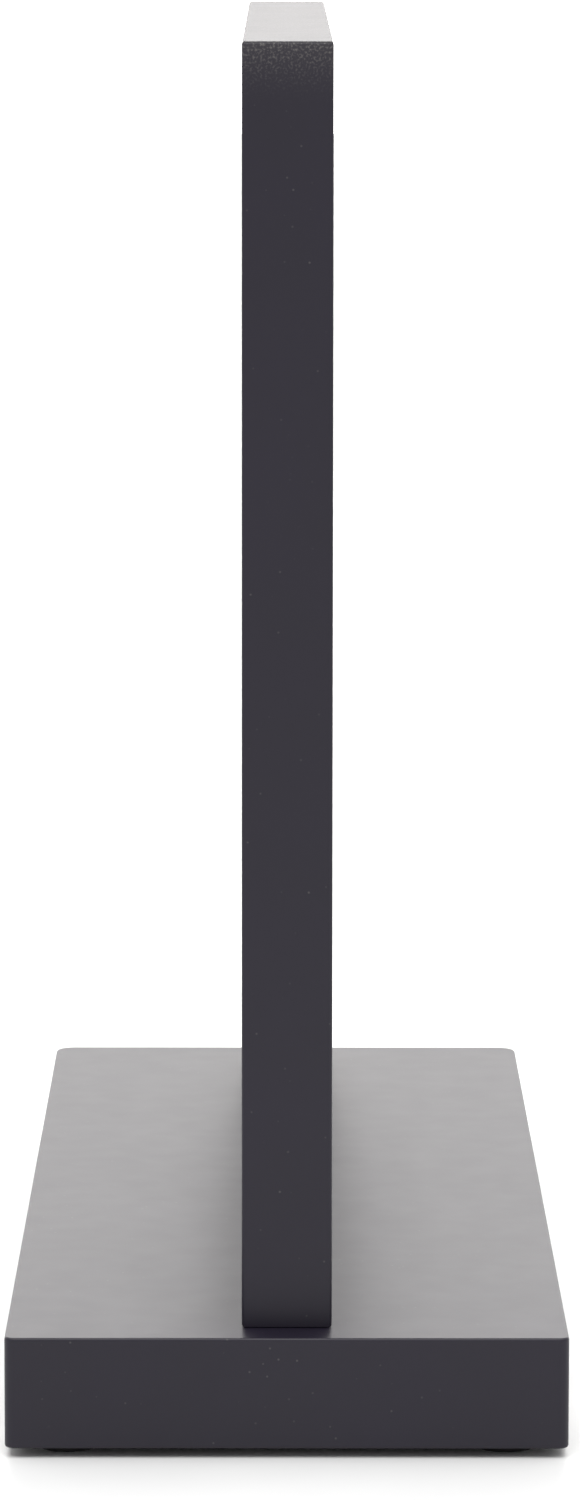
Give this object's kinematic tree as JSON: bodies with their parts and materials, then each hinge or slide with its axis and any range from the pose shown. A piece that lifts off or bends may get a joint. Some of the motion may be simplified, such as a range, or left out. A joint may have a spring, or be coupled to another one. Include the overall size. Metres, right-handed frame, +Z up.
{
  "type": "paper towel holder",
  "caption": "Free-standing paper towel holder: a black wooden frame on a base board, with a horizontal sprung spindle that carries the roll.",
  "frame": {"origin": "middle of the floor plane that the pads stand on", "axes": "+X across the base, +Y along it from the plunger end (front) to the fixed end, +Z up"},
  "size_m": [0.1186, 0.34, 0.2957],
  "materials": {
    "black_lacquer": "satin black lacquer",
    "pad_rubber": "matt",
    "screw_zinc": "zinc plated",
    "dowel_beech": "raw beech",
    "fitting_nickel": "satin nickel plated",
    "spindle_steel": "brushed along its length",
    "black_nylon": "moulded",
    "spring_steel": "drawn wire"
  },
  "bodies": {
    "stand": {"base_board": "black_lacquer", "front_upright": "black_lacquer", "rear_upright": "black_lacquer", "top_rail": "black_lacquer", "bottom_rail": "black_lacquer", "pad_front_left": "pad_rubber", "pad_front_right": "pad_rubber", "pad_rear_left": "pad_rubber", "pad_rear_right": "pad_rubber", "base_screw_1": "screw_zinc", "base_screw_2": "screw_zinc", "base_screw_3": "screw_zinc", "base_screw_4": "screw_zinc", "dowel_front_bottom_left": "dowel_beech", "dowel_front_bottom_right": "dowel_beech", "dowel_front_top_left": "dowel_beech", "dowel_front_top_right": "dowel_beech", "dowel_rear_bottom_left": "dowel_beech", "dowel_rear_bottom_right": "dowel_beech", "dowel_rear_top_left": "dowel_beech", "dowel_rear_top_right": "dowel_beech", "front_socket": "fitting_nickel", "rear_socket": "fitting_nickel"},
    "spindle": {"spindle_tube": "spindle_steel", "spindle_end_plug": "fitting_nickel", "spindle_guide_bush": "black_nylon", "spring_stop": "black_nylon", "plunger_spring": "spring_steel"},
    "plunger": {"plunger": "fitting_nickel"}
  },
  "joints": [
    {"name": "spindle_spin", "type": "hinge", "parent": "stand", "child": "spindle", "pos_m": [0, 0, 0.16075], "axis": [0, 1, 0], "continuous": true},
    {"name": "plunger_slide", "type": "slide", "parent": "spindle", "child": "plunger", "axis": [0, 1, 0], "range_m": [0, 0.012], "stiffness_N_per_m": 600, "springref_m": -0.006, "deforming": ["plunger_spring"]}
  ]
}
